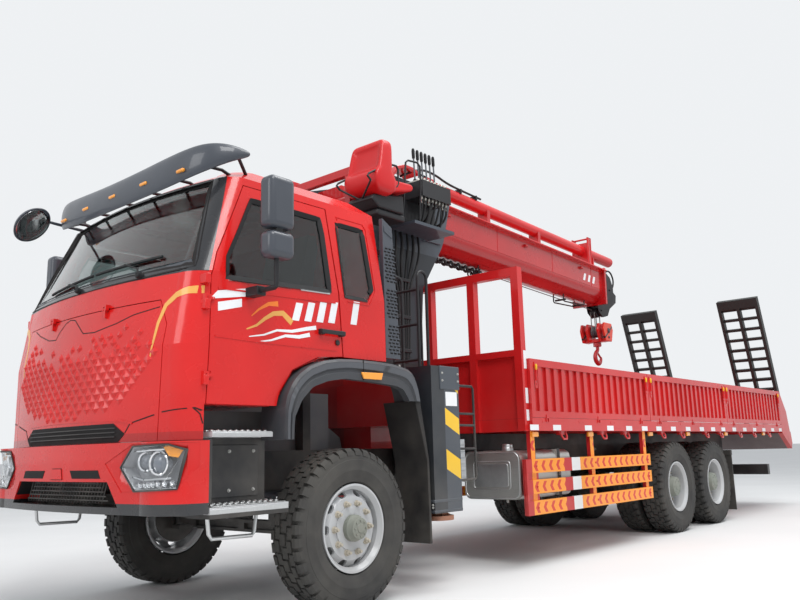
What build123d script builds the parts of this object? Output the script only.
from build123d import *
from math import cos, radians, sin
import os

os.makedirs("parts", exist_ok=True)

# Loader crane on a three axle truck with a dropside bed. Millimetres, +X forward,
# +Y left, +Z up. Stations along X are counted from the front axle, and save() moves
# every piece so that the origin lies on the ground under the middle of the length.

# Wheels and axles
WHEELBASE = 5700
TANDEM = 1300
TYRE_R = 542
TYRE_W = 300
RIM_R = 298
RIM_W = 254
SEAT_GAP = 0.3
FRONT_TYRE_Y = 1065
REAR_TYRE_Y = 1075
TWIN_STEP = 345
KING_PIN_Y = 880
KING_PIN_R = 24
SPINDLE_R = 38
REAR_SPINDLE_R = 52
RUN_FIT = 0.06
HAND_HOLES = 10
HAND_HOLE = 66
HAND_HOLE_R = 236
DRUM_R = 205
BEAM_W = 96
STEER_LIMIT = 36
NOSE_L = 330
NOSE_Z = 592
TAIL_BOSS_L = 300

# Frame rails, subframe and ground clearance line
RAIL_Y = 390
RAIL_T = 12
RAIL_FLANGE = 85
RAIL_Z0 = 790
RAIL_H = 290
RAIL_FRONT = 1180
RAIL_REAR = -9750
SUBFRAME_H = 126

# Bed, dropsides, headboard, tail and ramps
BED_FRONT = -2302
BED_REAR = -10173
BED_HALF = 1250
GUARD_SET_IN = 10
GUARD_RAIL_T = 29
GUARD_RAIL_H = 125
GUARD_ROWS = (455, 640, 825)
BED_FLOOR_T = 34
BED_RAIL_H = 118
DROP_H = 552
DROP_T = 42
DROP_GAP = 12
PANELS_A_SIDE = 3
RIB_PITCH = 148
HEAD_H = 1428
HEAD_BEAM = 80
TAIL_X = -10640
TAIL_TIP_Z = 927
RAMP_W = 660
RAMP_SET_IN = 38
RAMP_IN_Y = BED_HALF - RAMP_W - RAMP_SET_IN
RAMP_L = 2440
RAMP_T = 110
RAMP_LEAN = 21.5
RAMP_PIN_R = 17
RAMP_PIN_Z = 1175
RAMP_PIN_X = TAIL_X + 20
RAMP_SIDE_GAP = 4
RAMP_FOOT = 40
RAMP_OPEN = 138.5
FOLD_PIN_R = 4
FOLD_KNUCKLE_R = 5.5
FOLD_OUT = 6
FOLD_PLATE = 4.3
FOLD_UP = 2
DROP_OPEN = 178

# Cab
CAB_REAR = -375
CAB_HALF = 1180
CAB_TOP_HALF = 1075
CAB_FRONT = 1495
CAB_FLOOR_Z = 1700
CAB_WALL = 68
CAB_SILL_Z = 1150
CAB_UNDER_Z = 1718
BUMPER_INNER = 1330
DOOR_BOTTOM_Z = 1360
WAIST_Z = 2180
EAVES_Z = 2875
ROOF_Z = 3000
PANEL_T = 45
GLASS_T = 6
GLASS_IN = 14
SEAM = 6
CORNER_BULGE = 0.19
DOOR_LIP = 20
DOOR_REBATE = 16
DOOR_REAR_GAP = 5
DOOR_HINGE_X = 1232
DOOR_HINGE_OUT = 2
DOOR_OPEN = 68
LID_TOP_Z = 2010
LID_HALF = 930
LID_HINGE_X = 1452
LID_HINGE_UP = 4
LID_OPEN = 70
HINGE_PIN_R = 6
HINGE_KNUCKLE_R = 12
HINGE_H = 18
VISOR_X = 1292
VISOR_T = 16
VISOR_TOP_Z = 3052
ROUND_MIRROR_X = 1600
ROUND_MIRROR_R = 110
ROUND_MIRROR_T = 40
ROUND_MIRROR_LEAN = 70

# Crane: base, slew, column and boom
SLEW_X = -1500
BASE_TOP = 1690
SLEW_R = 330
COLUMN_BOTTOM = 1745
LUFF_X = -1150
LUFF_Z = 3430
LUFF_PIN_R = 45
LUFF_LIMIT = 77
BOOM_DROOP = 2.0
BOOM_HALF = 215
BOOM_TOP = 235
BOOM_RIDGE = -52
BOOM_BOTTOM = -245
BOOM_WALL = 10
BOOM_GAP = 7
BOOM_END = 4960
SECTION_STEP = 60
BOOM_SECTIONS = 5
SECTION_TRAVEL = 3000
TURRET_Y = 300
TURRET_T = 32
LIFT_FOOT_X = -1600
LIFT_FOOT_Z = 1915
LIFT_HEAD = 700
LIFT_HEAD_DROP = -370
LIFT_EYE_R = 60
LIFT_EYE_HALF = 62
LIFT_BARREL_R = 92
LIFT_ROD_R = 62
LIFT_PIN_R = 36
TOP_TUBE_Z = 520
TOP_TUBE_R = 72
TOP_ROD_R = 48
GUIDE_STATION = 4780
TUBE_END = 5560
HEAD_STATION = 5080
HEAD_LOW = -330
HEAD_SHEAVE_R = 70
HOOK_ROPE = 230
ROPE_R = 7

# Outriggers
OUTRIGGER_X = -1000
OUTRIGGER_W = 300
OUTRIGGER_Z0 = 1290
OUTRIGGER_H = 300
BEAM_GAP = 4
LEG_OUT_Y = 1250
LEG_W = 230
LEG_RAM_R = 70
LEG_TOP = 1715
LEG_BOTTOM = 575
BEAM_TRAVEL = 1700
LEG_TRAVEL = 500
FOOT_R = 125

# Overall length, from the feet of the leaning ramps to the front of the round mirror
REAR_MOST = RAMP_PIN_X - RAMP_T / 2 * cos(radians(RAMP_LEAN)) - RAMP_FOOT * sin(radians(RAMP_LEAN))
FRONT_MOST = (ROUND_MIRROR_X + ROUND_MIRROR_R * cos(radians(ROUND_MIRROR_LEAN))
              + ROUND_MIRROR_T / 2 * sin(radians(ROUND_MIRROR_LEAN)))
ORIGIN_X = (REAR_MOST + FRONT_MOST) / 2

REAR_AXLE_1 = -WHEELBASE
REAR_AXLE_2 = -WHEELBASE - TANDEM
RAIL_TOP = RAIL_Z0 + RAIL_H
ENGINE_HALF = RAIL_Y - RAIL_FLANGE - 10
BED_Z = RAIL_TOP + SUBFRAME_H
BED_FLOOR_Z = BED_Z + BED_RAIL_H
DROP_Z = BED_FLOOR_Z
DROP_HINGE_Y = BED_HALF + FOLD_OUT
DROP_HINGE_Z = DROP_Z + FOLD_UP
LID_HINGE_Z = LID_TOP_Z + LID_HINGE_UP


# Shared shapes

def box(x0, x1, y0, y1, z0, z1):
    """Plain box between two corners."""
    return Pos((x0 + x1) / 2, (y0 + y1) / 2, (z0 + z1) / 2) * Box(abs(x1 - x0), abs(y1 - y0), abs(z1 - z0))


def prism(outline, axis, start, end):
    """Outline in the two other axes, in X, Y, Z order, carried from start to end."""
    spot = {"x": lambda a, b: (start, a, b), "y": lambda a, b: (a, start, b), "z": lambda a, b: (a, b, start)}
    way = {"x": (1, 0, 0), "y": (0, 1, 0), "z": (0, 0, 1)}
    face = make_face(Polyline(*[spot[axis](a, b) for a, b in outline], close=True))
    return extrude(face, amount=end - start, dir=way[axis])


def rod(start, end, radius):
    """Round bar from one point to another."""
    way = Vector(*end) - Vector(*start)
    return extrude(Plane(origin=start, z_dir=way) * Circle(radius), amount=way.length)


def tube(start, end, outer, inner):
    """Round tube from one point to another."""
    way = Vector(*end) - Vector(*start)
    ring = Circle(outer) - Circle(inner)
    return extrude(Plane(origin=start, z_dir=way) * ring, amount=way.length)


def bent(points, radius, bend):
    """Round bar along straight runs joined by arcs."""
    path = FilletPolyline(*points, radius=bend)
    return sweep(Plane(origin=path @ 0, z_dir=path % 0) * Circle(radius), path=path)


def other(shape):
    """The same piece on the other side of the truck."""
    return mirror(shape, about=Plane.XZ)


def both(shape):
    """The piece and its mirror image."""
    return Part() + [shape, other(shape)]


def join(*shapes):
    return Part() + [s for s in shapes]


def save(shape, node):
    export_step(Pos(-ORIGIN_X, 0, 0) * shape, f"parts/{node}.step")


# Tyres and rims

def tyre(y, side):
    """Tyre centred at y; columns of the outline are radius, offset across."""
    outline = [(RIM_R + SEAT_GAP, 118), (400, 147), (465, 143), (524, 126), (TYRE_R, 96)]
    half = [(r, TYRE_W / 300 * w) for r, w in outline]
    face = make_face(Polyline(*half, *[(r, -w) for r, w in reversed(half)], close=True))
    return Pos(0, y * side, TYRE_R) * revolve(face, Axis.Y)


def rim(y, side, dish, hub_out, bore, drum_in):
    """Steel disc wheel. dish is the disc's place outward of the middle, hub_out the hub's nose."""
    w = RIM_W / 2
    barrel = [(RIM_R, w), (RIM_R, w - 16), (RIM_R - 24, w - 30), (RIM_R - 24, 30 - w), (RIM_R, 16 - w),
              (RIM_R, -w), (RIM_R - 14, -w), (RIM_R - 38, 30 - w), (RIM_R - 38, w - 30), (RIM_R - 14, w)]
    shape = revolve(make_face(Polyline(*barrel, close=True)), Axis.Y)
    seat = RIM_R - 36
    disc = [(seat, dish - 62), (seat, dish - 42), (215, dish), (150, dish), (150, dish - 14), (208, dish - 14)]
    shape += revolve(make_face(Polyline(*disc, close=True)), Axis.Y)
    hand_hole = extrude(Plane.XZ * SlotOverall(HAND_HOLE, HAND_HOLE * 0.62, rotation=90), 400, both=True)
    for i in range(HAND_HOLES):
        turn = 360 / HAND_HOLES * i
        cut = Pos(HAND_HOLE_R, 0, 0) * hand_hole
        shape -= Rot(Y=turn) * cut
    nose = [(0, hub_out), (62, hub_out), (72, hub_out - 12), (74, dish + 6), (150, dish + 6), (150, dish - 14),
            (168, dish - 14), (168, dish - 22), (bore, dish - 22), (bore, hub_out - 24), (0, hub_out - 24)]
    drum = [(DRUM_R, drum_in), (DRUM_R, dish - 22), (100, dish - 22), (100, dish - 36), (DRUM_R - 14, dish - 36),
            (DRUM_R - 14, drum_in)]
    shape += revolve(make_face(Polyline(*drum, close=True)), Axis.Y)
    shape += revolve(make_face(Polyline(*nose, close=True)), Axis.Y)
    shape = shape if side > 0 else other(shape)
    return Pos(0, y * side, TYRE_R) * shape


FRONT_DISH = 96
FRONT_NOSE = 168
REAR_DISH = -20
REAR_NOSE = 96

for side, word in ((1, "left"), (-1, "right")):
    save(tyre(FRONT_TYRE_Y, side), f"front_tyre_{word}")
    save(rim(FRONT_TYRE_Y, side, FRONT_DISH, FRONT_NOSE, SPINDLE_R + RUN_FIT, -100), f"front_rim_{word}")
    for name, station in (("middle", REAR_AXLE_1), ("rear", REAR_AXLE_2)):
        twins = join(tyre(REAR_TYRE_Y, side), tyre(REAR_TYRE_Y - TWIN_STEP, side))
        save(Pos(station, 0, 0) * twins, f"{name}_tyres_{word}")
        outer = rim(REAR_TYRE_Y, side, REAR_DISH, REAR_NOSE, REAR_SPINDLE_R + RUN_FIT, -300)
        inner_y = REAR_TYRE_Y - TWIN_STEP
        w = RIM_W / 2
        drum = [(RIM_R, w), (RIM_R, w - 16), (RIM_R - 24, w - 30), (RIM_R - 24, 30 - w), (RIM_R, 16 - w),
                (RIM_R, -w), (RIM_R - 14, -w), (RIM_R - 38, 30 - w), (RIM_R - 38, w - 30), (RIM_R - 14, w)]
        barrel = revolve(make_face(Polyline(*drum, close=True)), Axis.Y)
        disc = [(RIM_R - 36, w - 40), (RIM_R - 36, w - 20), (215, w + 30), (215, w + 185), (150, w + 185),
                (150, w + 170), (200, w + 170), (200, w + 16)]
        inner = barrel + revolve(make_face(Polyline(*disc, close=True)), Axis.Y)
        inner = inner if side > 0 else other(inner)
        save(Pos(station, 0, 0) * join(outer, Pos(0, inner_y * side, TYRE_R) * inner), f"{name}_rims_{word}")


# Front axle, steering knuckles and springs

AXLE_Z = TYRE_R
FRONT_DRUM_IN = 930
FRONT_DRUM_OUT = FRONT_TYRE_Y + FRONT_DISH - 30
SPRING_Y = 436
SPRING_W = 80
SPRING_Z = 640
BOGIE_Z = 735


def front_axle():
    """Dropped I beam with a king pin boss at each end."""
    outline = [(0, 470), (560, 470), (700, 500), (KING_PIN_Y - 34, 505), (KING_PIN_Y - 34, 580), (690, 580),
               (560, 560), (0, 560)]
    half = prism(outline, "x", -BEAM_W / 2, BEAM_W / 2)
    half -= prism([(40, 492), (600, 492), (600, 538), (40, 538)], "x", BEAM_W / 2 - 30, BEAM_W / 2)
    half -= prism([(40, 492), (600, 492), (600, 538), (40, 538)], "x", -BEAM_W / 2, 30 - BEAM_W / 2)
    half += Pos(0, KING_PIN_Y, AXLE_Z) * Cylinder(46, 96)
    half -= Pos(0, KING_PIN_Y, AXLE_Z) * Cylinder(KING_PIN_R + RUN_FIT, 120)
    return both(half)


def knuckle():
    """Yoke with the king pin, the backing plate, the spindle and the steering arm, left side."""
    pin = Pos(0, KING_PIN_Y, AXLE_Z) * Cylinder(KING_PIN_R, 176)
    yoke = box(-50, 50, KING_PIN_Y - 48, KING_PIN_Y + 56, AXLE_Z + 54, AXLE_Z + 88)
    yoke += box(-50, 50, KING_PIN_Y - 48, KING_PIN_Y + 56, AXLE_Z - 88, AXLE_Z - 54)
    yoke += box(-50, 50, KING_PIN_Y + 52, KING_PIN_Y + 74, AXLE_Z - 88, AXLE_Z + 88)
    plate = rod((0, KING_PIN_Y + 66, AXLE_Z), (0, KING_PIN_Y + 80, AXLE_Z), DRUM_R - 6)
    spindle = rod((0, KING_PIN_Y + 70, AXLE_Z), (0, FRONT_TYRE_Y + FRONT_NOSE - 30, AXLE_Z), SPINDLE_R)
    arm = box(-330, -30, KING_PIN_Y - 52, KING_PIN_Y - 12, AXLE_Z - 86, AXLE_Z - 58)
    return join(pin, yoke, plate, spindle, arm)


def front_springs():
    """Leaf pack on each side with its hangers and the damper, carried below the rail."""
    outline = [(-760, 868), (-700, 800), (-420, 690), (-120, SPRING_Z), (120, SPRING_Z), (420, 690), (700, 800),
               (760, 868), (730, 880), (640, 812), (420, 730), (120, 690), (-120, 690), (-420, 730), (-640, 812),
               (-730, 880)]
    pack = prism(outline, "y", SPRING_Y - SPRING_W / 2, SPRING_Y + SPRING_W / 2)
    seat = box(-95, 95, SPRING_Y - 50, SPRING_Y + 50, 559, SPRING_Z + 1)
    front_hanger = prism([(700, 860), (780, 860), (800, 1000), (640, 1000)], "y", RAIL_Y + 0.3, SPRING_Y + 50)
    rear_hanger = prism([(-700, 860), (-780, 860), (-800, 1000), (-640, 1000)], "y", RAIL_Y + 0.3, SPRING_Y + 50)
    return both(join(pack, seat, front_hanger, rear_hanger))


save(knuckle(), "knuckle_left")
save(other(knuckle()), "knuckle_right")


# Rear axles and their spring bogie

def rear_axle(station):
    """Tube housing with the round gear case and a brake drum flange at each end."""
    housing = rod((station, -560, AXLE_Z), (station, 560, AXLE_Z), 78)
    dome = [(0, -158), (90, -152), (165, -112), (208, -50), (208, 50), (165, 112), (90, 152), (0, 158)]
    case = Pos(station, 0, AXLE_Z) * revolve(make_face(Polyline(*dome, close=True)), Axis.Y)
    nose = rod((station, 0, NOSE_Z), (station + NOSE_L, 0, NOSE_Z), 88)
    seats = both(box(station - 60, station + 60, SPRING_Y - 44, SPRING_Y + 44, AXLE_Z + 40, 672))
    ends = both(rod((station, 540, AXLE_Z), (station, REAR_TYRE_Y + REAR_NOSE - 30, AXLE_Z), REAR_SPINDLE_R))
    return join(housing, case, nose, seats, ends)


def rear_springs():
    """Two leaf packs rocking on the bogie shaft between the axles."""
    middle = (REAR_AXLE_1 + REAR_AXLE_2) / 2
    reach = TANDEM / 2 + 60
    outline = [(middle - reach, 640), (middle - 130, 845), (middle + 130, 845), (middle + reach, 640),
               (middle + reach, 690), (middle + 130, 905), (middle - 130, 905), (middle - reach, 690)]
    pack = prism(outline, "y", SPRING_Y - 42, SPRING_Y + 42)
    shaft = rod((middle, -540, BOGIE_Z), (middle, 540, BOGIE_Z), 48)
    saddle = box(middle - 120, middle + 120, SPRING_Y - 46, SPRING_Y + 46, 715, 850)
    bracket = prism([(middle - 170, RAIL_Z0), (middle + 170, RAIL_Z0), (middle + 90, 700),
                     (middle - 90, 700)], "y", RAIL_Y - 60, RAIL_Y - 8)
    return join(both(pack), both(saddle), shaft, both(bracket))


tail_boss = rod((REAR_AXLE_1 - TAIL_BOSS_L, 0, NOSE_Z), (REAR_AXLE_1, 0, NOSE_Z), 62)
axles = [front_axle(), join(rear_axle(REAR_AXLE_1), tail_boss), rear_axle(REAR_AXLE_2)]
save(join(*axles, front_springs(), rear_springs()), "axles_and_springs")


# Frame

def chassis_frame():
    """Two channel rails tied by cross members, with the bed's subframe on top."""
    z0, z1 = RAIL_Z0, RAIL_TOP
    outline = [(RAIL_Y, z0), (RAIL_Y, z1), (RAIL_Y - RAIL_FLANGE, z1), (RAIL_Y - RAIL_FLANGE, z1 - RAIL_T),
               (RAIL_Y - RAIL_T, z1 - RAIL_T), (RAIL_Y - RAIL_T, z0 + RAIL_T), (RAIL_Y - RAIL_FLANGE, z0 + RAIL_T),
               (RAIL_Y - RAIL_FLANGE, z0)]
    rail = prism(outline, "x", RAIL_REAR, RAIL_FRONT)
    sub = box(RAIL_REAR, BED_FRONT + 60, RAIL_Y - 80, RAIL_Y, z1, z1 + SUBFRAME_H)
    parts = [both(rail), both(sub)]
    for station in (RAIL_FRONT - 60, -1900, -3300, -4700, (REAR_AXLE_1 + REAR_AXLE_2) / 2, -8200, RAIL_REAR + 60):
        parts.append(box(station - 45, station + 45, -RAIL_Y + 6, RAIL_Y - 6, z1 - 150, z1 - 60))
    inner = RAIL_Y - RAIL_FLANGE
    parts.append(both(box(RAIL_FRONT - 1, BUMPER_INNER - SEAT_GAP, inner, RAIL_Y, z0 + 40, z0 + 190)))
    parts.append(both(box(1000, 1100, inner, RAIL_Y, z1 - 1, CAB_SILL_Z - SEAT_GAP)))
    parts.append(both(box(-330, -250, inner, RAIL_Y, z1 - 1, CAB_UNDER_Z - SEAT_GAP)))
    parts.append(box(-320, -260, -inner - 1, inner + 1, CAB_UNDER_Z - 110, CAB_UNDER_Z - 40))
    return join(*parts)


save(chassis_frame(), "chassis_frame")

ENGINE = box(-620, 760, -ENGINE_HALF, ENGINE_HALF, 770, 1540)


def driveline():
    """Gearbox behind the engine and the shafts to both driven axles."""
    case = prism([(-620, 790), (-620, 1320), (-850, 1180), (-880, 1065), (-1500, 1030), (-1500, 770), (-1250, 720)],
                 "y", -200, 200)
    nose_1 = REAR_AXLE_1 + NOSE_L + SEAT_GAP
    nose_2 = REAR_AXLE_2 + NOSE_L + SEAT_GAP
    boss = REAR_AXLE_1 - TAIL_BOSS_L - SEAT_GAP
    first = rod((-1500, 0, 870), (nose_1 + 30, 0, NOSE_Z), 52) + rod((nose_1, 0, NOSE_Z), (nose_1 + 36, 0, NOSE_Z), 78)
    second = rod((boss, 0, NOSE_Z), (nose_2, 0, NOSE_Z), 46)
    second += rod((boss - 24, 0, NOSE_Z), (boss, 0, NOSE_Z), 66) + rod((nose_2, 0, NOSE_Z), (nose_2 + 24, 0, NOSE_Z), 78)
    mounts = [box(x - 60, x + 60, ENGINE_HALF - 1, RAIL_Y - RAIL_T - SEAT_GAP, 880, 960) for x in (-420, 520)]
    return join(case, first, second, *[both(m) for m in mounts])


save(join(ENGINE, driveline()), "engine_and_gearbox")


# Cab shell, doors, front lid and glass

# Plan sections of the cab: height, front middle, corner's front X, corner's inset, corner's rear X, half width, rear X
CAB_SECTIONS = [
    (CAB_SILL_Z, CAB_FRONT, 1385, 170, 1200, CAB_HALF - 8, CAB_REAR),
    (1720, CAB_FRONT - 5, 1385, 180, 1195, CAB_HALF, CAB_REAR),
    (WAIST_Z, 1425, 1315, 190, 1150, CAB_HALF - 6, CAB_REAR),
    (EAVES_Z, 1105, 1020, 165, 900, CAB_TOP_HALF, CAB_REAR + 15),
    (ROOF_Z, 900, 830, 240, 700, CAB_TOP_HALF - 160, CAB_REAR + 120),
]


def plan_face(z, mid, corner_x, inset, start_x, half, rear, shrink_front, shrink_side, shrink_rear):
    """Plan outline of the cab at one height: straight sides, round corners and a bowed front."""
    w = half - shrink_side
    r = rear + shrink_rear
    mid, corner_x, start_x = mid - shrink_front, corner_x - shrink_front, start_x - shrink_front
    left, front_left = (start_x, w, z), (corner_x, w - inset, z)
    right, front_right = (start_x, -w, z), (corner_x, inset - w, z)
    run = corner_x - start_x
    knee = (start_x + run / 2 + CORNER_BULGE * inset, w - inset / 2 + CORNER_BULGE * run, z)
    knee_right = (knee[0], -knee[1], z)
    edges = [Line((r, -w, z), (r, w, z)), Line((r, w, z), left), ThreePointArc(left, knee, front_left),
             ThreePointArc(front_left, (mid, 0, z), front_right), ThreePointArc(front_right, knee_right, right),
             Line(right, (r, -w, z))]
    return make_face(Wire(edges))


def cab_form(rows, shrink_front=0, shrink_side=0, shrink_rear=0):
    return loft([plan_face(*row, shrink_front, shrink_side, shrink_rear) for row in rows], ruled=True)


outer = cab_form(CAB_SECTIONS)
cavity_rows = [
    (CAB_FLOOR_Z + 40, CAB_FRONT - 5, 1385, 180, 1195, CAB_HALF, CAB_REAR),
    (WAIST_Z, 1425, 1315, 190, 1150, CAB_HALF - 6, CAB_REAR),
    (EAVES_Z - 30, 1105 + 14, 1020 + 14, 165, 900 + 14, CAB_TOP_HALF, CAB_REAR + 15),
    (ROOF_Z - 50, 870, 800, 240, 680, CAB_TOP_HALF - 180, CAB_REAR + 130),
]
cavity = loft([plan_face(*row, front, CAB_WALL, CAB_WALL) for row, front in
               zip(cavity_rows, (160, 160, 60, 60))], ruled=True)
foot_well = box(760, 1235, -CAB_HALF + CAB_WALL, CAB_HALF - CAB_WALL, 1480, CAB_FLOOR_Z + 60)

# Side outlines in X, Z
def door_outline(rear_shift):
    """Door opening, with its rear edge moved forward by rear_shift for the leaf."""
    return [(1227, DOOR_BOTTOM_Z), (1200, 2146), (1150, 2300), (905, 2815), (157 + rear_shift, 2815),
            (83 + rear_shift, 1722), (330, 1700), (560, 1600), (668, 1450), (690, DOOR_BOTTOM_Z)]


DOOR_WINDOW = [(1105, 2135), (1085, 2290), (855, 2735), (222, 2735), (190, 2170)]
QUARTER_WINDOW = [(55, 2150), (70, 2735), (-235, 2735), (-262, 2245), (-190, 2150)]
ARCH_CUT = [(CAB_REAR - 50, 900), (CAB_REAR - 50, CAB_UNDER_Z), (140, CAB_UNDER_Z), (330, 1690), (555, 1595), (660, 1450),
            (690, DOOR_BOTTOM_Z), (1240, DOOR_BOTTOM_Z), (1240, 900)]
SCREEN = [(1085, 2215), (905, 2865), (-905, 2865), (-1085, 2215)]
LID = [(LID_HALF, CAB_SILL_Z - 60), (LID_HALF + 25, 1850), (LID_HALF - 60, LID_TOP_Z), (60 - LID_HALF, LID_TOP_Z),
       (-LID_HALF - 25, 1850), (-LID_HALF, CAB_SILL_Z - 60)]


def outline_face(outline, grow):
    """Outline laid in a plane and grown or shrunk all round."""
    face = make_face(Polyline(*outline, close=True))
    return offset(face, amount=grow, kind=Kind.INTERSECTION) if grow else face


def side_cutter(outline, y0, y1, grow=0):
    """Prism across the cab from an X, Z outline."""
    return extrude(Plane(origin=(0, y0, 0), x_dir=(1, 0, 0), z_dir=(0, -1, 0)) * outline_face(outline, grow),
                   amount=-(y1 - y0))


def front_cutter(outline, x0, x1, grow=0):
    """Prism along the cab from a Y, Z outline."""
    return extrude(Plane(origin=(x0, 0, 0), x_dir=(0, 1, 0), z_dir=(1, 0, 0)) * outline_face(outline, grow),
                   amount=x1 - x0)


shell = outer - cavity - foot_well
shell -= side_cutter(ARCH_CUT, -CAB_HALF - 50, CAB_HALF + 50)
shell -= box(-650, 900, -470, 470, 900, 1560)
front_rows = CAB_SECTIONS[0:3]
lid_core = cab_form(front_rows, PANEL_T, PANEL_T, PANEL_T)
lid_seat = cab_form(front_rows, PANEL_T + SEAM, PANEL_T + SEAM, PANEL_T + SEAM)
lid = (cab_form(front_rows) - lid_core) & front_cutter(LID, 1150, 1600)
shell -= front_cutter(LID, 1150, 1600, SEAM) - lid_seat
doors = {}


def door_hinges():
    """Fixed halves, swinging halves and the pockets cut for them, at the front edge of the left door."""
    x, y = DOOR_HINGE_X, CAB_HALF + DOOR_HINGE_OUT
    fixed, moving, pockets, slots = [], [], [], []
    for z in (1520, 1990):
        fork = box(x - 11, x + 30, y - 19, y + 10, z - 14, z + HINGE_H + 14)
        slots.append(box(x - 14, x + HINGE_KNUCKLE_R + 3, y - 26, y + 14, z - SEAT_GAP, z + HINGE_H + SEAT_GAP))
        fork -= slots[-1]
        fixed.append(fork + rod((x, y, z - 14), (x, y, z + HINGE_H + 14), HINGE_PIN_R))
        knuckle = box(x - 40, x - 4, y - 12, y + 8, z, z + HINGE_H) + rod((x, y, z), (x, y, z + HINGE_H), HINGE_KNUCKLE_R)
        moving.append(knuckle - rod((x, y, z - 1), (x, y, z + HINGE_H + 1), HINGE_PIN_R + RUN_FIT))
        pockets.append(box(x - 27, x + 34, y - 24, y + 30, z - 17, z + HINGE_H + 17))
    return join(*fixed), join(*moving), join(*pockets), join(*slots)


def lid_hinges():
    """Fixed forks on the scuttle and swinging knuckles on the front panel, both sides."""
    x, z = LID_HINGE_X, LID_HINGE_Z
    fixed, moving = [], []
    for y in (360, -360):
        fork = box(x - 12, x + 10, y - 24, y + 24, z - 10, z + 26) + box(x - 75, x + 10, y - 24, y + 24, z + 6, z + 26)
        fork -= box(x - 13, x + 14, y - 9.3, y + 9.3, z - 14, z + 14)
        fixed.append(fork + rod((x, y - 24, z), (x, y + 24, z), HINGE_PIN_R))
        knuckle = rod((x, y - 9, z), (x, y + 9, z), 10) + box(x - 14, x + 6, y - 9, y + 9, z - 60, z - 4)
        knuckle += box(x - 40, x + 6, y - 9, y + 9, z - 60, z - 30)
        moving.append(knuckle - rod((x, y - 10, z), (x, y + 10, z), HINGE_PIN_R + RUN_FIT))
    return join(*fixed), join(*moving)


door_fixed, door_moving, door_pockets, door_slots = door_hinges()
lid_fixed, lid_moving = lid_hinges()
lid = lid + lid_moving
shell = shell - both(door_slots)
for side, word in ((1, "left"), (-1, "right")):
    inner_y, outer_y = CAB_TOP_HALF - CAB_WALL - 40, CAB_HALF + 40
    y0, y1 = (inner_y, outer_y) if side > 0 else (-outer_y, -inner_y)
    door = ((outer - cab_form(CAB_SECTIONS, 8, DOOR_LIP, 8)) & side_cutter(door_outline(DOOR_REAR_GAP), y0, y1)) + (
        (outer - cab_form(CAB_SECTIONS, 20, CAB_WALL, 20)) & side_cutter(door_outline(DOOR_REAR_GAP), y0, y1, -DOOR_REBATE))
    door -= side_cutter(DOOR_WINDOW, y0, y1)
    door = (door - both(door_pockets)) + (door_moving if side > 0 else other(door_moving))
    opening = side_cutter(door_outline(0), y0, y1, SEAM)
    shell -= opening - cab_form(CAB_SECTIONS, 26, CAB_WALL + SEAM, 26)
    shell -= side_cutter(QUARTER_WINDOW, y0, y1)
    doors[word] = door
shell -= front_cutter(SCREEN, 850, 1500)
shell += both(door_fixed)
shell += lid_fixed
save(shell, "cab_shell")
save(lid, "front_panel")
save(doors["left"], "door_left")
save(doors["right"], "door_right")

def layer(rows, depth, thick):
    """Skin of the cab between two depths below its surface."""
    return cab_form(rows, depth, depth, depth) - cab_form(rows, depth + thick, depth + thick, depth + thick)


glass = layer(CAB_SECTIONS[1:4], GLASS_IN, GLASS_T)
screen = glass & front_cutter(SCREEN, 850, 1500, -0.3)
quarter = glass & side_cutter(QUARTER_WINDOW, CAB_TOP_HALF - 200, CAB_HALF + 40, -0.3)
pane = glass & side_cutter(DOOR_WINDOW, CAB_TOP_HALF - 200, CAB_HALF + 40, -0.3)
save(join(screen, both(quarter)), "cab_glass")
save(pane, "door_glass_left")
save(other(pane), "door_glass_right")


def outside_cab():
    """The cab's outer form with a seat's gap round it, to trim what stands on the cab."""
    return cab_form(CAB_SECTIONS, -SEAT_GAP, -SEAT_GAP, -SEAT_GAP)


def sun_visor():
    """Band of the sun visor in front of the windscreen's top, bowed in plan, on four stays from the roof."""
    def plan(out):
        front, corner, tip = VISOR_X + out, VISOR_X - 52 + out, (VISOR_X - 300, CAB_HALF + 62 + out)
        bend = (VISOR_X - 116 + out * 0.7, CAB_HALF + 2 + out * 0.7)
        return [(tip, bend, (corner, 950)), ((corner, 950), (front, 0), (corner, -950)),
                ((corner, -950), (bend[0], -bend[1]), (tip[0], -tip[1]))]
    edges = [ThreePointArc(*arc) for arc in plan(0)]
    inner = [ThreePointArc(*arc) for arc in plan(-VISOR_T)]
    ends = [Line(edges[0] @ 0, inner[0] @ 0), Line(edges[2] @ 1, inner[2] @ 1)]
    band = extrude(Pos(0, 0, 2900) * make_face(Wire([*edges, *inner, *ends])), 200)
    outline = [(0, 2925), (500, 2932), (900, 2946), (1130, 2968), (1260, 3040), (1245, VISOR_TOP_Z), (830, VISOR_TOP_Z),
               (530, VISOR_TOP_Z - 20), (250, VISOR_TOP_Z - 34), (0, VISOR_TOP_Z - 36)]
    band &= both(prism(outline, "x", 900, 1400))
    stays = []
    for y in (860, 330):
        stays.append(both(bent([(900, y, 2930), (VISOR_X - 110, y, 2950), (VISOR_X - 50, y, 2985)], 11, 30)))
    return join(band, *stays) - outside_cab()


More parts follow.
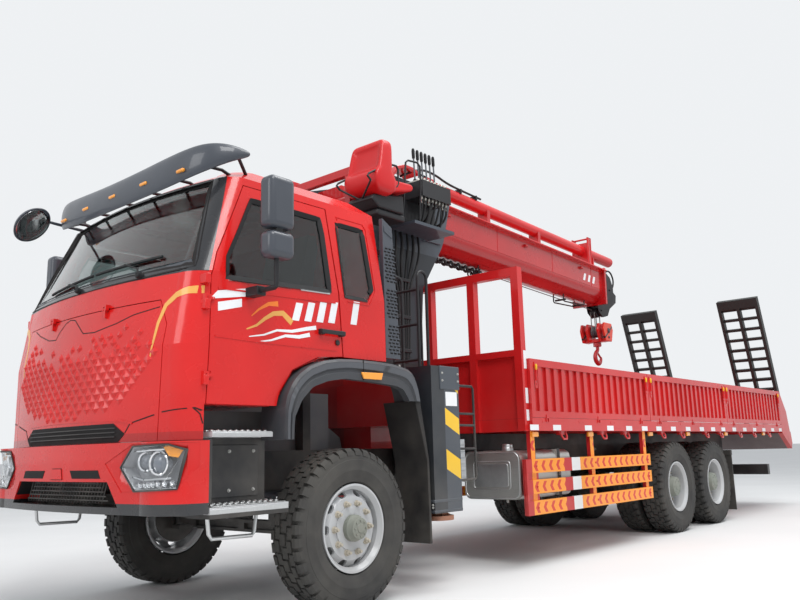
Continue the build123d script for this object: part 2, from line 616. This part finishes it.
def cab_interior():
    """Two seats, the dashboard and the steering wheel, seen through the glass."""
    parts = [prism([(960, -1040), (960, 1040), (1010, 1040), (1150, 850), (1190, 400), (1190, -400), (1150, -850),
                    (1010, -1040)], "z", 1900, 2120)]
    for y in (560, -560):
        parts.append(box(160, 640, y - 250, y + 250, 1960, 2090))
        parts.append(prism([(190, 2060), (60, 2700), (-50, 2700), (60, 2060)], "y", y - 240, y + 240))
        parts.append(box(250, 550, y - 150, y + 150, CAB_FLOOR_Z + 40, 1970))
    parts.append(box(1150, 1283.4, -60, 60, 1960, 2050))
    hub = Plane(origin=(860, 560, 2190), z_dir=(-0.82, 0, 0.57))
    wheel = hub * Torus(215, 16)
    spoke = hub * Box(60, 420, 14)
    column = rod((1020, 560, 2060), (862, 560, 2186), 28)
    return join(*parts, wheel, spoke, column)


save(cab_interior(), "cab_interior")


# Front bumper, lamps, arches, steps and mudguards

BUMPER_REAR = 1232
LAMP = [(560, 1023), (821, 1135), (1215, 1135), (1262, 1100), (1155, 874), (730, 855)]


def bumper_form():
    """Whole front of the bumper, bowed in plan and wrapped round both corners."""
    face = make_face(Wire([Line((BUMPER_REAR, 1205), (BUMPER_REAR, 1222)),
                           ThreePointArc((BUMPER_REAR, 1222), (1400, 1150), (1480, 900)),
                           ThreePointArc((1480, 900), (1540, 0), (1480, -900)),
                           ThreePointArc((1480, -900), (1400, -1150), (BUMPER_REAR, -1222)),
                           Line((BUMPER_REAR, -1222), (BUMPER_REAR, 1205))]))
    return extrude(Pos(0, 0, 725) * face, 420)


def lamp_zone(grow):
    """Space of both headlamps, wrapped round the corner."""
    cutter = front_cutter(LAMP, 1290, 1600, grow)
    return both(cutter)


def bumper():
    """Full width bumper with the lower grille recess and the two lamp openings."""
    body = bumper_form() - box(1000, BUMPER_INNER, -1130, 1130, 700, 1200)
    body -= prism([(590, 915), (700, 767), (-700, 767), (-590, 915)], "x", 1200, 1600)
    return body - lamp_zone(SEAT_GAP)


save(bumper(), "bumper")
save(Pos(-4, 0, 0) * bumper_form() & lamp_zone(0), "headlamps")


def wheel_arch():
    """Moulded arch over the front wheel, with the mudguard behind it, left side."""
    top = [(670, 1145), (670, 1352), (648, 1440), (546, 1585), (325, 1680), (113, 1706), (-400, 1700), (-650, 1611),
           (-700, 1425),
           (-560, 1425), (-480, 1500), (120, 1560), (330, 1545), (500, 1450), (590, 1330), (600, 1145)]
    arch = prism(top, "y", 1000, 1250) + box(0, 60, 1010, 1060, 1690, CAB_UNDER_Z - SEAT_GAP)
    arch += box(-360, -300, 1010, 1060, 1690, CAB_UNDER_Z - SEAT_GAP)
    guard = prism([(-640, 1430), (-700, 1430), (-790, 980), (-800, 360), (-775, 360), (-765, 980)], "y", 900, 1235)
    return join(arch, guard)


def steps():
    """Two entry steps under each door in their black box."""
    side = box(640, 1215, 800, 1000 - SEAT_GAP, 700, 1330)
    side += box(900, 1000, RAIL_Y + SEAT_GAP, 801, 860, 960)
    upper = box(740, 1200, 1000, 1200, 1165, 1195)
    lower = box(630, 1225, 1000, 1225, 695, 760)
    return join(side, upper, lower)


# Bed with its cross bearers, tail, headboard and dropsides

PANEL_L = (BED_FRONT - BED_REAR) / PANELS_A_SIDE
DROP_Y = BED_HALF - DROP_T


def hinge_stations(front, rear):
    """Places along X of one panel's three hinges."""
    return [front - 260, (front + rear) / 2, rear + 260]


def fold_forks():
    """Fixed hinge halves of all three panels of the left side."""
    forks = []
    for i in range(PANELS_A_SIDE):
        front = BED_FRONT - i * PANEL_L
        for x in hinge_stations(front - DROP_GAP / 2, front - PANEL_L + DROP_GAP / 2):
            pin = rod((x - 27, DROP_HINGE_Y, DROP_HINGE_Z), (x + 27, DROP_HINGE_Y, DROP_HINGE_Z), FOLD_PIN_R)
            plates = [box(x0, x0 + 12, BED_HALF, DROP_HINGE_Y + FOLD_PLATE, DROP_Z - 34, DROP_HINGE_Z + FOLD_PLATE)
                      for x0 in (x - 27, x + 15)]
            forks.append(join(pin, *plates))
    return join(*forks)


def bed():
    """Floor on cross bearers between side rails, with the sloped tail behind."""
    floor = box(BED_REAR, BED_FRONT, -BED_HALF + 40, BED_HALF - 40, BED_FLOOR_Z - BED_FLOOR_T, BED_FLOOR_Z)
    rail = box(BED_REAR, BED_FRONT, BED_HALF - 60, BED_HALF, BED_Z, BED_FLOOR_Z)
    parts = [floor, both(rail)]
    bearers = 14
    step = (BED_FRONT - BED_REAR - 200) / (bearers - 1)
    for i in range(bearers):
        x = BED_REAR + 100 + i * step
        parts.append(box(x - 35, x + 35, -BED_HALF + 50, BED_HALF - 50, BED_Z, BED_FLOOR_Z - BED_FLOOR_T))
    outline = [(BED_REAR, BED_FLOOR_Z), (BED_REAR, BED_Z - 20), (TAIL_X + 10, TAIL_TIP_Z), (TAIL_X - 30, TAIL_TIP_Z + 90)]
    parts.append(prism(outline, "y", -BED_HALF, BED_HALF))
    cheek = [(BED_REAR, BED_FLOOR_Z), (BED_REAR, DROP_Z + DROP_H), (BED_REAR - 60, DROP_Z + DROP_H), (TAIL_X + 120, 1542),
             (TAIL_X - 30, TAIL_TIP_Z + 90)]
    parts.append(both(prism(cheek, "y", BED_HALF - 30, BED_HALF)))
    lug = [(RAMP_PIN_X - 70, TAIL_TIP_Z + 80), (RAMP_PIN_X + 90, TAIL_TIP_Z + 150), (RAMP_PIN_X + 32, RAMP_PIN_Z + 32),
           (RAMP_PIN_X - 32, RAMP_PIN_Z + 32)]
    inner, outer_y = RAMP_IN_Y - RAMP_SIDE_GAP, RAMP_IN_Y + RAMP_W + RAMP_SIDE_GAP
    pin = rod((RAMP_PIN_X, inner - 16, RAMP_PIN_Z), (RAMP_PIN_X, outer_y + 4, RAMP_PIN_Z), RAMP_PIN_R)
    parts += [both(prism(lug, "y", inner - 14, inner)), both(prism(lug, "y", outer_y, BED_HALF)), both(pin)]
    return join(*parts, both(fold_forks()))


save(bed(), "bed")


def headboard():
    """Post and beam frame with the solid lower panel."""
    x0, x1 = BED_FRONT, BED_FRONT + HEAD_BEAM
    top = BED_FLOOR_Z + HEAD_H
    parts = [box(x0, x1, -1220, 1220, top - HEAD_BEAM, top), box(x0, x1, -1220, 1220, 1900, 1900 + 60)]
    for y in (1180, 665, 130, -130, -665, -1180):
        parts.append(box(x0, x1, y - 40, y + 40, BED_Z, top))
    parts.append(box(x0 + 20, x0 + 40, -1220, 1220, BED_Z, 1930))
    return join(*parts)


save(headboard(), "headboard")

def dropside(i):
    """One folding side panel: sheet with upright ribs between a top and a bottom rail."""
    front = BED_FRONT - i * PANEL_L - DROP_GAP / 2
    rear = front - PANEL_L + DROP_GAP
    z0, z1 = DROP_Z + 5, DROP_Z + DROP_H
    sheet = box(rear, front, DROP_Y, DROP_Y + 14, z0, z1)
    rails = [box(rear, front, DROP_Y, BED_HALF, z0, z0 + 60), box(rear, front, DROP_Y, BED_HALF, z1 - 70, z1)]
    ends = [box(x0, x0 + 60, DROP_Y, BED_HALF, z0, z1) for x0 in (rear, front - 60)]
    count = int((front - rear - 160) // RIB_PITCH)
    step = (front - rear - 60) / (count + 1)
    ribs = [box(rear + 30 + step * (k + 1) - 28, rear + 30 + step * (k + 1) + 28, DROP_Y + 14, BED_HALF - 8, z0 + 60, z1 - 70)
            for k in range(count)]
    knuckles = []
    for x in hinge_stations(front, rear):
        loop = rod((x - 14, DROP_HINGE_Y, DROP_HINGE_Z), (x + 14, DROP_HINGE_Y, DROP_HINGE_Z), FOLD_KNUCKLE_R)
        loop += box(x - 14, x + 14, BED_HALF - 1, DROP_HINGE_Y, z0 + 1, z0 + 28)
        knuckles.append(loop - rod((x - 15, DROP_HINGE_Y, DROP_HINGE_Z), (x + 15, DROP_HINGE_Y, DROP_HINGE_Z),
                                   FOLD_PIN_R + RUN_FIT))
    return join(sheet, *rails, *ends, *ribs, *knuckles)


for i, name in enumerate(("front", "middle", "rear")):
    panel = dropside(i)
    save(panel, f"dropside_{name}_left")
    save(other(panel), f"dropside_{name}_right")


# Tail ramps, standing and leaning forward

def ramp():
    """Ladder type ramp built upright at its hinge, then leant forward; left side."""
    y0, y1 = RAMP_IN_Y, RAMP_IN_Y + RAMP_W
    z0 = RAMP_PIN_Z
    top = z0 + RAMP_L
    parts = [box(-RAMP_T / 2, RAMP_T / 2, y - 25, y + 25, z0 - RAMP_FOOT, top - 40) for y in (y0 + 25, (y0 + y1) / 2, y1 - 25)]
    count = 13
    step = (RAMP_L - 260) / (count - 1)
    for k in range(count):
        z = z0 + 60 + k * step
        parts.append(box(-RAMP_T / 2 + 8, -RAMP_T / 2 + 62, y0, y1, z, z + 44))
    parts.append(box(-RAMP_T / 2, RAMP_T / 2, y0, y1, top - 150, top))
    shape = join(*parts)
    shape -= rod((0, y0 - 50, z0), (0, y1 + 50, z0), RAMP_PIN_R + RUN_FIT)
    return Pos(RAMP_PIN_X, 0, z0) * Rot(Y=RAMP_LEAN) * Pos(0, 0, -z0) * shape


save(ramp(), "ramp_left")
save(other(ramp()), "ramp_right")


# Crane base, outriggers and legs

def crane_base():
    """Box on the rails that carries the slew ring and the outrigger tube."""
    body = box(-2080, -900, -520, 520, RAIL_TOP, BASE_TOP)
    sleeve = box(OUTRIGGER_X - OUTRIGGER_W / 2 - 30, OUTRIGGER_X + OUTRIGGER_W / 2 + 30, -990, 990,
                 OUTRIGGER_Z0 - 30, OUTRIGGER_Z0 + OUTRIGGER_H + 30)
    bore = box(OUTRIGGER_X - OUTRIGGER_W / 2 - BEAM_GAP, OUTRIGGER_X + OUTRIGGER_W / 2 + BEAM_GAP, -1000, 1000,
               OUTRIGGER_Z0 - BEAM_GAP, OUTRIGGER_Z0 + OUTRIGGER_H + BEAM_GAP)
    ring = rod((SLEW_X, 0, BASE_TOP - 1), (SLEW_X, 0, COLUMN_BOTTOM - SEAT_GAP), SLEW_R)
    x0, x1 = OUTRIGGER_X - OUTRIGGER_W / 2, OUTRIGGER_X + OUTRIGGER_W / 2
    pads = []
    for z0, z1 in ((OUTRIGGER_Z0 - BEAM_GAP - 1, OUTRIGGER_Z0 - SEAT_GAP),
                   (OUTRIGGER_Z0 + OUTRIGGER_H + SEAT_GAP, OUTRIGGER_Z0 + OUTRIGGER_H + BEAM_GAP + 1)):
        pads.append(both(box(x0 + 10, x1 - 10, 900, 985, z0, z1)))
        pads.append(both(box(x0 + 10, x1 - 10, 300, 420, z0, z1)))
    return join(join(body, sleeve, ring) - bore, *pads)


save(crane_base(), "crane_base")


def outrigger_beam():
    """Sliding box beam with the leg's housing at its outer end, left side. Each beam takes one half of the tube."""
    x0 = OUTRIGGER_X + 3
    beam = box(x0, OUTRIGGER_X + OUTRIGGER_W / 2, -880, LEG_OUT_Y - LEG_W, OUTRIGGER_Z0, OUTRIGGER_Z0 + OUTRIGGER_H)
    x_out = OUTRIGGER_W / 2 + 26
    leg = box(OUTRIGGER_X - x_out, OUTRIGGER_X + x_out, LEG_OUT_Y - LEG_W, LEG_OUT_Y, LEG_BOTTOM, LEG_TOP)
    leg -= box(OUTRIGGER_X - 96, OUTRIGGER_X + 96, LEG_OUT_Y - LEG_W + 20, LEG_OUT_Y - 20, LEG_BOTTOM + 40, LEG_TOP - 30)
    y = LEG_OUT_Y - LEG_W / 2
    leg -= rod((OUTRIGGER_X, y, LEG_BOTTOM - 10), (OUTRIGGER_X, y, LEG_BOTTOM + 60), LEG_RAM_R + RUN_FIT)
    return join(beam, leg)


def outrigger_leg():
    """Round ram with its ball foot."""
    y = LEG_OUT_Y - LEG_W / 2
    inner = rod((OUTRIGGER_X, y, LEG_BOTTOM - 20), (OUTRIGGER_X, y, LEG_TOP - 60), LEG_RAM_R)
    pad = Pos(OUTRIGGER_X, y, LEG_BOTTOM - 42) * Cylinder(FOOT_R, 34)
    neck = rod((OUTRIGGER_X, y, LEG_BOTTOM - 26), (OUTRIGGER_X, y, LEG_BOTTOM), 52)
    return join(inner, pad, neck)


save(outrigger_beam(), "outrigger_beam_left")
save(Pos(2 * OUTRIGGER_X, 0, 0) * Rot(Z=180) * outrigger_beam(), "outrigger_beam_right")
save(outrigger_leg(), "outrigger_leg_left")
save(other(outrigger_leg()), "outrigger_leg_right")


# Column and turret

def crane_column():
    """Slewing column with two turret cheeks that hold the boom's pin and the lift cylinder between them."""
    foot = Pos(SLEW_X, 0, COLUMN_BOTTOM + 40) * Cylinder(SLEW_R + 20, 80)
    cheek_line = [(-1240, COLUMN_BOTTOM + 70), (-1830, COLUMN_BOTTOM + 70), (-1900, 2630), (-2215, 3080), (-2260, 3170),
                  (-2392, 3600), (-2370, 3685), (-2020, 3700), (-1400, 3700), (-960, 3560), (-960, 3200), (-1180, 3000)]
    cheek = prism(cheek_line, "y", TURRET_Y, TURRET_Y + TURRET_T)
    cheek -= rod((LUFF_X, 200, LUFF_Z), (LUFF_X, 400, LUFF_Z), LUFF_PIN_R + RUN_FIT)
    front = box(-1240, -1210, -TURRET_Y - 1, TURRET_Y + 1, COLUMN_BOTTOM + 70, 2900)
    floor = box(-1830, -1240, -TURRET_Y - 1, TURRET_Y + 1, COLUMN_BOTTOM + 60, COLUMN_BOTTOM + 95)
    lug = prism([(LIFT_FOOT_X - 80, COLUMN_BOTTOM + 90), (LIFT_FOOT_X + 80, COLUMN_BOTTOM + 90),
                 (LIFT_FOOT_X + 60, LIFT_FOOT_Z + 50), (LIFT_FOOT_X - 60, LIFT_FOOT_Z + 50)], "y", 60, 85)
    pin = rod((LIFT_FOOT_X, -85, LIFT_FOOT_Z), (LIFT_FOOT_X, 85, LIFT_FOOT_Z), LIFT_PIN_R)
    return join(foot, both(cheek), front, floor, both(lug), pin)


save(crane_column(), "crane_column")


def operator_seat():
    """High back seat on its platform beside the column."""
    back = prism([(-760, 3230), (-700, 3260), (-1010, 3880), (-1090, 3850)], "y", 380, 830)
    cushion = prism([(-760, 3240), (-760, 3330), (-1440, 3560), (-1480, 3480)], "y", 380, 830)
    stand = box(-1400, -800, 390, 800, 3090, 3225)
    stand += prism([(-800, 3220), (-800, 3256), (-1400, 3456), (-1400, 3220)], "y", 430, 780)
    arm = box(-1380, -1000, TURRET_Y + TURRET_T + SEAT_GAP, 391, 3110, 3190)
    return join(back, cushion, stand, arm)


save(operator_seat(), "operator_seat")


# Boom: sections nest and slide along the boom's own line, built level and then tilted about the luff pin

def boom_tilt(shape):
    return Pos(LUFF_X, 0, LUFF_Z) * Rot(Y=-BOOM_DROOP) * shape


def boom_face(inset, x):
    """Boom outline across its line: flat top, upright sides and a round bottom, shrunk by inset."""
    w, top, ridge, low = BOOM_HALF - inset, BOOM_TOP - inset, BOOM_RIDGE, BOOM_BOTTOM + inset
    knee = (x, w * 0.80, ridge + (low - ridge) * 0.62)
    edges = [Line((x, w, ridge), (x, w, top)), Line((x, w, top), (x, -w, top)), Line((x, -w, top), (x, -w, ridge)),
             ThreePointArc((x, -w, ridge), (x, 0, low), (x, w, ridge))]
    return make_face(Wire(edges))


def boom_tube(inset, start, end):
    """Hollow boom section from start to end along the boom."""
    skin = extrude(boom_face(inset, -start), amount=end - start, dir=(-1, 0, 0))
    bore = extrude(boom_face(inset + BOOM_WALL, -start + 1), amount=end - start + 2, dir=(-1, 0, 0))
    return skin - bore


def wear_ring(inset, start):
    """Pad ring round the rear of an inner section, a seat's gap inside the section around it."""
    outside = extrude(boom_face(inset - BOOM_GAP + SEAT_GAP, -start), amount=120, dir=(-1, 0, 0))
    return outside - extrude(boom_face(inset, -start + 1), amount=122, dir=(-1, 0, 0))


def boom_section_1():
    """Outer section with its top flanges, end collar, root plates and luff pin."""
    body = boom_tube(0, 330, BOOM_END)
    flange = box(-BOOM_END, -330, BOOM_HALF - 1, BOOM_HALF + 65, BOOM_TOP - 12, BOOM_TOP)
    collar = box(-BOOM_END, -BOOM_END + 40, -BOOM_HALF - 45, BOOM_HALF + 45, BOOM_BOTTOM - 8, BOOM_TOP + 30)
    collar -= extrude(boom_face(BOOM_WALL - 1, -BOOM_END + 60), amount=100, dir=(-1, 0, 0))
    root = prism([(150, 100), (150, -100), (-340, BOOM_BOTTOM), (-700, BOOM_BOTTOM), (-700, BOOM_TOP), (-100, BOOM_TOP)],
                 "y", 150, BOOM_HALF)
    pin = rod((0, -TURRET_Y - TURRET_T - 20, 0), (0, TURRET_Y + TURRET_T + 20, 0), LUFF_PIN_R)
    lug = prism([(-LIFT_HEAD - 90, BOOM_BOTTOM + 24), (-LIFT_HEAD + 90, BOOM_BOTTOM + 24),
                 (-LIFT_HEAD + 50, LIFT_HEAD_DROP - 50), (-LIFT_HEAD - 50, LIFT_HEAD_DROP - 50)], "y", 70, 100)
    return join(body, both(flange), collar, both(root), pin, both(lug))


def boom_section(n):
    """Inner section n, drawn in, with its collar just outside the section around it."""
    inset = (n - 1) * (BOOM_WALL + BOOM_GAP)
    start = 700 + n * 60
    end = BOOM_END + SECTION_STEP * (n - 1)
    return join(boom_tube(inset, start, end), wear_ring(inset, start))


def boom_head():
    """Last section with its sheave head, whose cheeks reach down in front of the other sections."""
    n = BOOM_SECTIONS
    end = BOOM_END + SECTION_STEP * (n - 1)
    body = boom_tube((n - 1) * (BOOM_WALL + BOOM_GAP), 700 + n * 60, end)
    cheek = prism([(10 - end, 125), (10 - end, HEAD_LOW + 130), (110 - end, HEAD_LOW + 110),
                   (40 - HEAD_STATION, HEAD_LOW - 20), (-HEAD_STATION - 60, HEAD_LOW - 60), (-end - 80, -300),
                   (-end - 400, -110), (-end - 420, 0), (-end - 180, 125)], "y", 60, 80)
    sheave = rod((-HEAD_STATION, -52, HEAD_LOW), (-HEAD_STATION, 52, HEAD_LOW), HEAD_SHEAVE_R)
    axle = rod((-HEAD_STATION, -88, HEAD_LOW), (-HEAD_STATION, 88, HEAD_LOW), 24)
    wall = box(-end, 12 - end, -120, 120, -120, 130)
    nose = rod((-end - 370, -70, -50), (-end - 370, 70, -50), 60)
    ring = wear_ring((n - 1) * (BOOM_WALL + BOOM_GAP), 700 + n * 60)
    return join(body, ring, both(cheek), sheave, axle, wall, nose)


save(boom_tilt(boom_head()), "boom_head")


def lift_ends():
    """Lift cylinder's foot and head pins at rest, in the truck's side plane."""
    tilt = radians(-BOOM_DROOP)
    x, z = -LIFT_HEAD, LIFT_HEAD_DROP
    head = (LUFF_X + x * cos(tilt) + z * sin(tilt), 0, LUFF_Z - x * sin(tilt) + z * cos(tilt))
    return (LIFT_FOOT_X, 0, LIFT_FOOT_Z), head


def along(start, end, distance):
    way = Vector(*end) - Vector(*start)
    return tuple(Vector(*start) + way.normalized() * distance)


foot, head = lift_ends()
reach = (Vector(*head) - Vector(*foot)).length
barrel = tube(along(foot, head, 100), along(foot, head, reach - 150), LIFT_BARREL_R, LIFT_ROD_R + 6)
gland = tube(along(foot, head, reach - 150), along(foot, head, reach - 110), LIFT_BARREL_R - 6, LIFT_ROD_R + RUN_FIT)
base = rod((foot[0], -56, foot[2]), (foot[0], 56, foot[2]), 66) + rod(foot, along(foot, head, 110), 52)
base -= rod((foot[0], -60, foot[2]), (foot[0], 60, foot[2]), LIFT_PIN_R + RUN_FIT)
save(join(barrel, gland, base), "lift_barrel")
piston = rod(along(foot, head, 130), along(foot, head, reach - 50), LIFT_ROD_R)
eye = tube((head[0], -LIFT_EYE_HALF, head[2]), (head[0], LIFT_EYE_HALF, head[2]), LIFT_EYE_R, LIFT_PIN_R + RUN_FIT)
save(join(piston, eye) - rod((head[0], -70, head[2]), (head[0], 70, head[2]), LIFT_PIN_R + RUN_FIT), "lift_rod")


# Telescope cylinder on top of the boom

def tube_supports():
    """What section 1 carries for the telescope cylinder: root bracket with the rod, two saddles and the guide frame."""
    root = box(-1310, -1180, -70, 70, BOOM_TOP - 1, TOP_TUBE_Z + 60)
    stem = rod((-1300, 0, TOP_TUBE_Z), (-BOOM_END + 200, 0, TOP_TUBE_Z), TOP_ROD_R)
    parts = [root, stem]
    for station in (2350, 3500):
        saddle = box(-station - 30, -station + 30, -70, 70, BOOM_TOP - 1, TOP_TUBE_Z - 20)
        parts.append(saddle - rod((-station - 40, 0, TOP_TUBE_Z), (-station + 40, 0, TOP_TUBE_Z), TOP_TUBE_R + SEAT_GAP))
    frame = box(-GUIDE_STATION - 45, -GUIDE_STATION + 45, -110, 110, BOOM_TOP - 1, TOP_TUBE_Z + 105)
    frame -= rod((-GUIDE_STATION - 60, 0, TOP_TUBE_Z), (-GUIDE_STATION + 60, 0, TOP_TUBE_Z), TOP_TUBE_R + SEAT_GAP)
    return join(*parts, frame)


def telescope_tube():
    """Cylinder barrel that slides along the boom's top with section 2."""
    end = BOOM_END + SECTION_STEP
    barrel = tube((-1420, 0, TOP_TUBE_Z), (-TUBE_END, 0, TOP_TUBE_Z), TOP_TUBE_R, TOP_ROD_R + 6)
    gland = tube((-1380, 0, TOP_TUBE_Z), (-1420, 0, TOP_TUBE_Z), TOP_TUBE_R, TOP_ROD_R + RUN_FIT)
    cap = rod((-TUBE_END, 0, TOP_TUBE_Z), (-TUBE_END - 40, 0, TOP_TUBE_Z), TOP_TUBE_R)
    plate = box(-end, -end + 24, -60, 60, BOOM_TOP - BOOM_WALL - BOOM_GAP - 1, TOP_TUBE_Z - TOP_ROD_R - 8)
    return join(barrel, gland, cap, plate)


save(boom_tilt(join(boom_section_1(), tube_supports())), "boom_section_1")
save(boom_tilt(join(boom_section(2), telescope_tube())), "boom_section_2")
for n in range(3, BOOM_SECTIONS):
    save(boom_tilt(boom_section(n)), f"boom_section_{n}")


def hook_block():
    """Hook block hanging plumb from the head sheave, with its ropes, cheeks, sheave and hook."""
    x, z = HOOK_PIN
    top = z - HOOK_ROPE
    line = HEAD_SHEAVE_R + ROPE_R + 0.3
    ropes = [rod((x + side * line, y, z), (x + side * line, y, top - 60), ROPE_R) for y in (-28, 28) for side in (-1, 1)]
    cheek_line = [(x - 90, top), (x + 90, top), (x + 135, top - 80), (x + 80, top - 220), (x - 80, top - 220),
                  (x - 135, top - 80)]
    cheeks = [prism(cheek_line, "y", y - 18, y + 18) for y in (-160, -80, 80, 160)]
    sheave = rod((x, -50, top - 60), (x, 50, top - 60), HEAD_SHEAVE_R)
    pin = rod((x, -180, top - 60), (x, 180, top - 60), 22)
    shank = rod((x, 0, top - 185), (x, 0, top - 290), 26)
    cross = box(x - 50, x + 50, -160, 160, top - 215, top - 175)
    centre = top - 380
    arc = ThreePointArc((x + 5, 0, centre + 96), (x + 74, 0, centre - 62), (x - 88, 0, centre - 20))
    hook = sweep(Plane(origin=arc @ 0, z_dir=arc % 0) * Circle(22), path=arc)
    return join(*ropes, *cheeks, sheave, pin, shank, cross, hook)


droop = radians(BOOM_DROOP)
HOOK_PIN = (LUFF_X - HEAD_STATION * cos(droop) - HEAD_LOW * sin(droop),
            LUFF_Z - HEAD_STATION * sin(droop) + HEAD_LOW * cos(droop))
save(hook_block(), "hook_block")


def control_levers():
    """Valve block beside the column with its row of levers and the shelf under it."""
    block = box(-2000, -1560, TURRET_Y + TURRET_T + SEAT_GAP, 640, 3440, 3600)
    shelf = box(-2010, -1402, TURRET_Y + TURRET_T + SEAT_GAP, 660, 3130, 3160)
    wall = box(-2010, -1520, TURRET_Y + TURRET_T + SEAT_GAP, TURRET_Y + TURRET_T + 90, 3155, 3445)
    levers = [rod((-1620 - 62 * k, 500, 3600), (-1600 - 62 * k, 500, 3960), 8) for k in range(6)]
    return join(block, shelf, wall, *levers)


save(control_levers(), "control_levers")


# Tank, exhaust box, batteries, guards, rear bar and mudflaps

def fuel_tank():
    body = box(-3130, -2210, 520, 1150, 590, 1030)
    body = fillet(body.edges().filter_by(Axis.X), 70)
    straps = [box(x - 25, x + 25, 508, 1158, 580, 1040) for x in (-2450, -2900)]
    brackets = [box(x - 30, x + 30, RAIL_Y, 530, 600, 1000) for x in (-2450, -2900)]
    return join(body, *straps, *brackets)


exhaust_box = join(box(-1560, -1240, 530, 1010, 800, 1140), box(-1480, -1320, RAIL_Y, 540, 850, 1060))
battery_box = join(box(-1700, -1240, -1100, -520, 640, 1060), box(-1600, -1340, -540, -RAIL_Y, 700, 1000))
air_tank = join(rod((-2300, -760, 800), (-3100, -760, 800), 150), box(-2800, -2600, -640, -RAIL_Y, 820, 1000))
save(join(fuel_tank(), exhaust_box, battery_box, air_tank), "tank_and_boxes")


def side_guard():
    """Three rails between a front plate and a rear upright, hung from the bed; left side."""
    rail_out = BED_HALF - GUARD_SET_IN
    rail_in = rail_out - GUARD_RAIL_T
    rails = [box(-4850, -2170, rail_in, rail_out, z, z + GUARD_RAIL_H) for z in GUARD_ROWS]
    posts = [box(x - 35, x + 35, rail_in - 41, rail_in + 1, GUARD_ROWS[0], BED_Z) for x in (-2345, -3500, -4780)]
    return join(*rails, *posts)


rear_bar = join(box(-9600, -9500, -1150, 1150, 540, 700), *[box(-9560, -9500, y - 40, y + 40, 700, RAIL_Z0)
                                                            for y in (-350, 350)])
save(join(both(side_guard()), rear_bar), "side_guards")


def mudflaps():
    flap = box(-7640, -7615, 720, 1230, 130, 900)
    stay = box(-7660, -7615, RAIL_Y, 1230, 900, 950)
    return both(join(flap, stay))


save(join(both(wheel_arch()), mudflaps()), "wheel_arches")


def air_duct():
    """Perforated panel behind the cab's rear corner."""
    panel = prism([(-500, 2790), (-569, 1749), (-400, 1749), (-390, 2850)], "y", 1120, 1160)
    stay = [box(-440, CAB_REAR - 0.3, 1090, 1120, z, z + 60) for z in (1900, 2600)]
    return both(join(panel, *stay))


def ladder():
    """Step ladder up to the seat."""
    y0, y1 = 690, 970
    z0 = OUTRIGGER_Z0 + OUTRIGGER_H + 30
    parts = [bent([(-1030, y, z0), (-1030, y, 2560), (-1150, y, 2560), (-1150, y, z0)], 13, 55) for y in (y0, y1)]
    parts += [rod((-1030, y0, z), (-1030, y1, z), 12) for z in (1800, 2100, 2400)]
    return join(*parts)


save(join(both(steps()), ladder()), "steps")


def mirror_pair():
    """Mirror housings on their arm, carried by the left door."""
    upper = box(800, 1010, 1370, 1500, 2440, 2780)
    lower = box(800, 1010, 1370, 1500, 2250, 2420)
    arm = bent([(917, CAB_HALF + 10, 2070), (917, 1440, 2070), (917, 1440, 2700)], 16, 60)
    stub = box(880, 950, CAB_HALF - 4, 1300, 2040, 2100)
    return join(upper, lower, arm, stub)


save(mirror_pair(), "mirror_left")
save(other(mirror_pair()), "mirror_right")


def round_mirror():
    """Round look down mirror on its arm from the right front pillar."""
    disc = Pos(ROUND_MIRROR_X, -640, 2740) * Rot(Y=ROUND_MIRROR_LEAN) * Cylinder(ROUND_MIRROR_R, ROUND_MIRROR_T)
    arm = bent([(860, -900, 2890), (1300, -800, 2880), (1560, -640, 2880), (1595, -640, 2760)], 12, 60)
    return join(disc, arm) - outside_cab()


save(join(sun_visor(), air_duct(), round_mirror()), "cab_trim")
